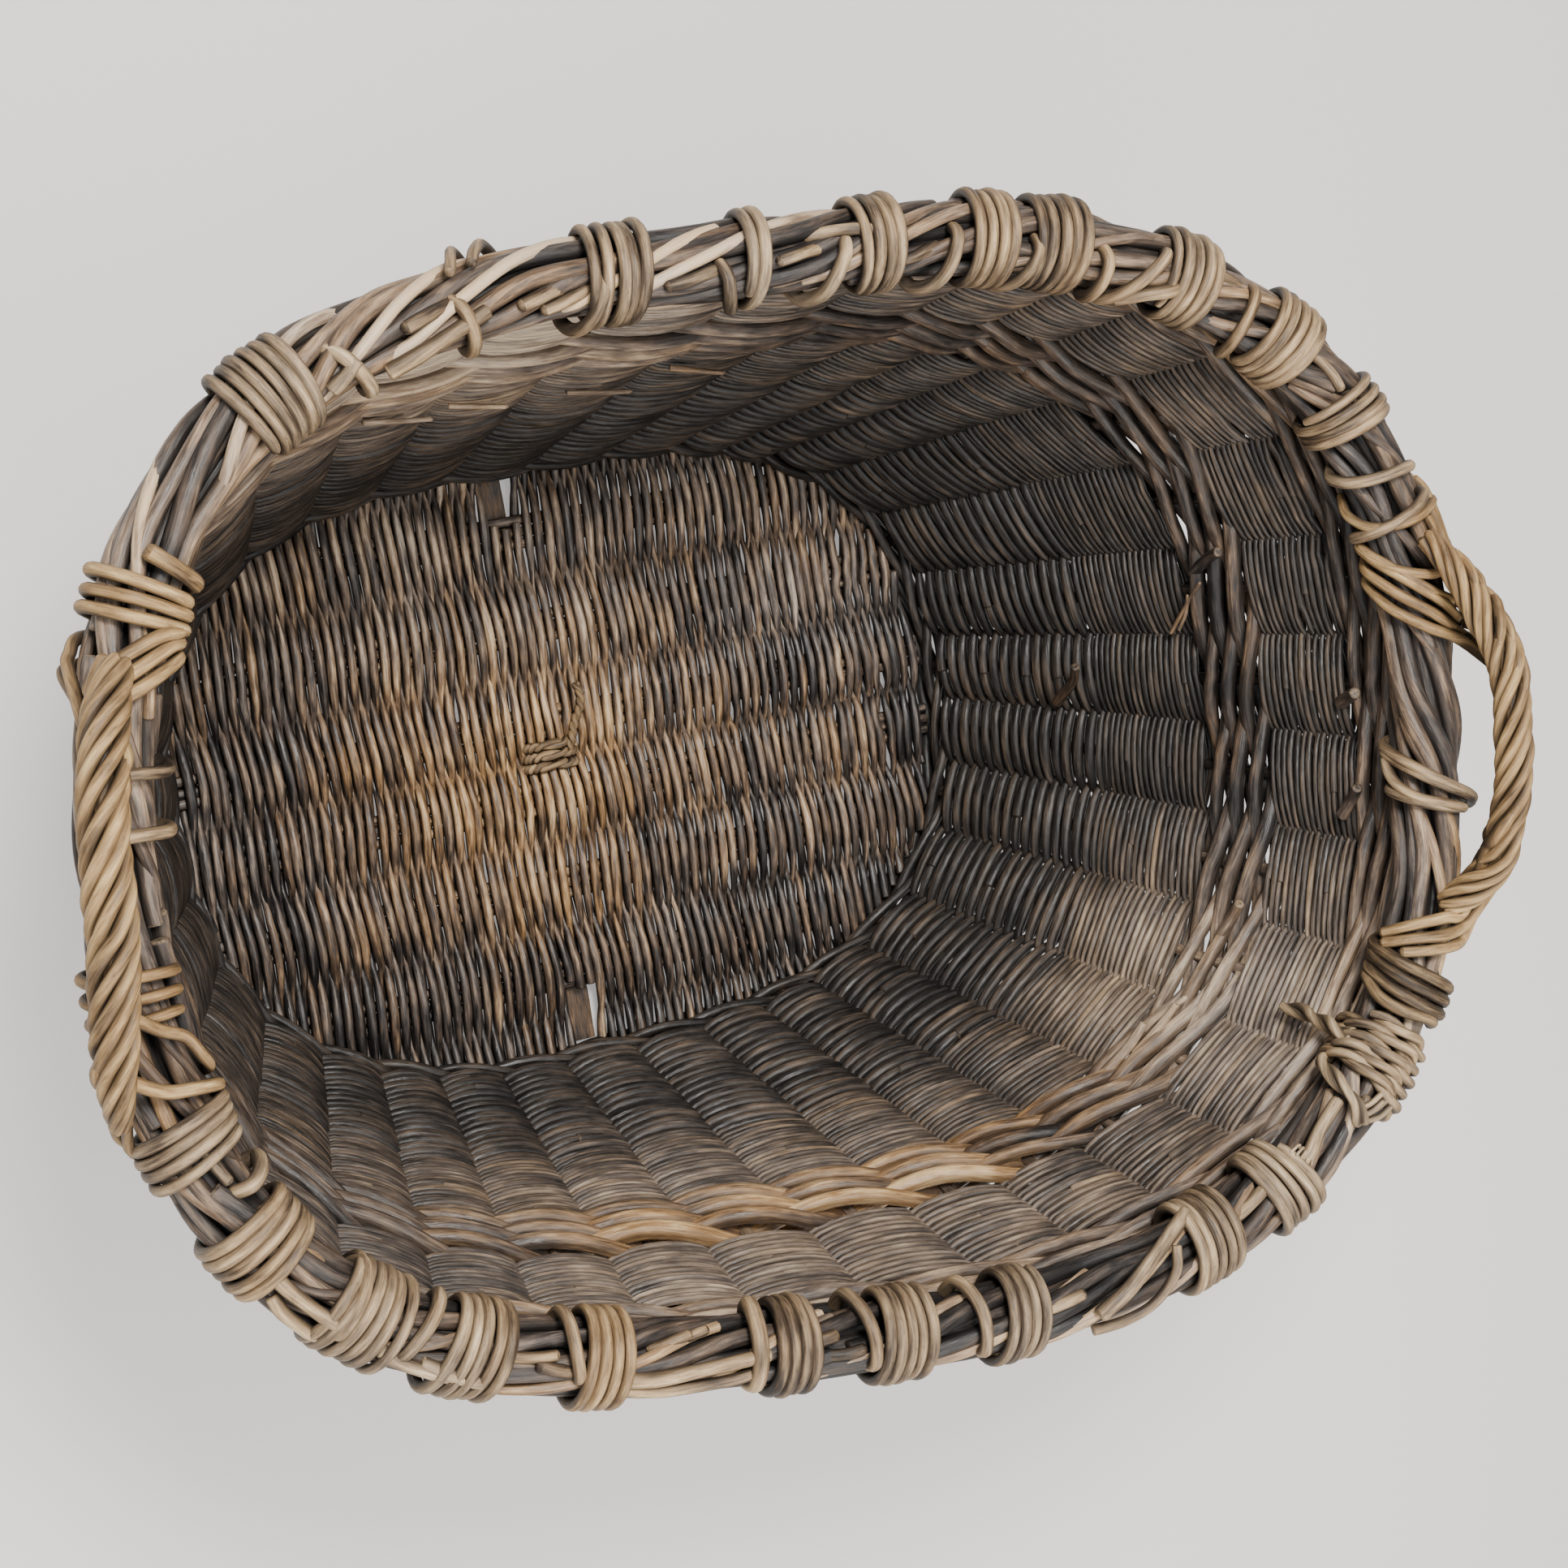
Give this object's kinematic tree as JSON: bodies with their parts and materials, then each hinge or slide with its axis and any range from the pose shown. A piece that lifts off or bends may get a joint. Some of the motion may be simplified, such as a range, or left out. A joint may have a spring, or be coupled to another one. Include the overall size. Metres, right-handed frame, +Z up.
{
  "type": "wicker harvest basket",
  "caption": "Large oval willow harvest basket with flared woven sides, a lashed rolled border and a twisted rope-like willow handle at each end.",
  "frame": {"origin": "on the ground under the middle of the bounding box, between the two handles", "axes": "+Z up out of the mouth, X along the basket's length from handle to handle, Y across its width"},
  "size_m": [0.9203, 0.7247, 0.5918],
  "materials": {
    "side_willow": "matte unpeeled willow rods, near black to weathered grey",
    "stake_willow": "matte dark brown willow",
    "brown_wale": "satin orange-brown willow",
    "floor_willow": "satin worn willow, tan on the high spots and charcoal between",
    "floor_stick": "matte dark willow",
    "lath_wood": "matte split wood",
    "weathered_border": "matte silver-grey weathered willow",
    "straw_lashing": "satin straw-coloured peeled willow",
    "straw_handle": "satin straw to tan peeled willow, worn"
  },
  "bodies": {
    "root": {"border_lashing_01": "straw_lashing", "border_lashing_02": "straw_lashing", "border_lashing_03": "straw_lashing", "border_lashing_04": "straw_lashing", "border_lashing_05": "straw_lashing", "border_lashing_06": "straw_lashing", "border_lashing_07": "straw_lashing", "border_lashing_08": "straw_lashing", "border_lashing_09": "straw_lashing", "border_lashing_10": "straw_lashing", "border_lashing_11": "straw_lashing", "border_lashing_12": "straw_lashing", "border_lashing_13": "straw_lashing", "border_lashing_14": "straw_lashing", "border_lashing_15": "straw_lashing", "border_lashing_16": "straw_lashing", "border_lashing_17": "straw_lashing", "border_lashing_18": "straw_lashing", "border_lashing_19": "straw_lashing", "border_lashing_20": "straw_lashing", "border_lashing_21": "straw_lashing", "border_rod_1": "weathered_border", "border_rod_2": "weathered_border", "border_rod_3": "weathered_border", "border_rod_4": "weathered_border", "centre_binding": "floor_willow", "cross_lath": "lath_wood", "floor_stick_1": "floor_stick", "floor_stick_2": "floor_stick", "floor_stick_3": "floor_stick", "floor_stick_4": "floor_stick", "floor_stick_5": "floor_stick", "floor_stick_6": "floor_stick", "floor_weave_1": "floor_willow", "floor_weave_2": "floor_willow", "floor_weave_3": "floor_willow", "floor_weave_4": "floor_willow", "floor_weave_5": "floor_willow", "floor_weave_6": "floor_willow", "floor_weave_7": "floor_willow", "foot_hoop": "stake_willow", "handle_left_foot_back": "straw_handle", "handle_left_foot_front": "straw_handle", "handle_left_rod_1": "straw_handle", "handle_left_rod_2": "straw_handle", "handle_right_foot_back": "straw_handle", "handle_right_foot_front": "straw_handle", "handle_right_rod_1": "straw_handle", "handle_right_rod_2": "straw_handle", "lower_weave_1": "side_willow", "lower_weave_2": "side_willow", "lower_weave_3": "side_willow", "mid_wale": "brown_wale", "middle_weave_1": "side_willow", "middle_weave_2": "side_willow", "side_stakes": "stake_willow", "top_wale": "brown_wale", "upper_weave_1": "side_willow", "upper_weave_2": "side_willow"}
  },
  "joints": []
}
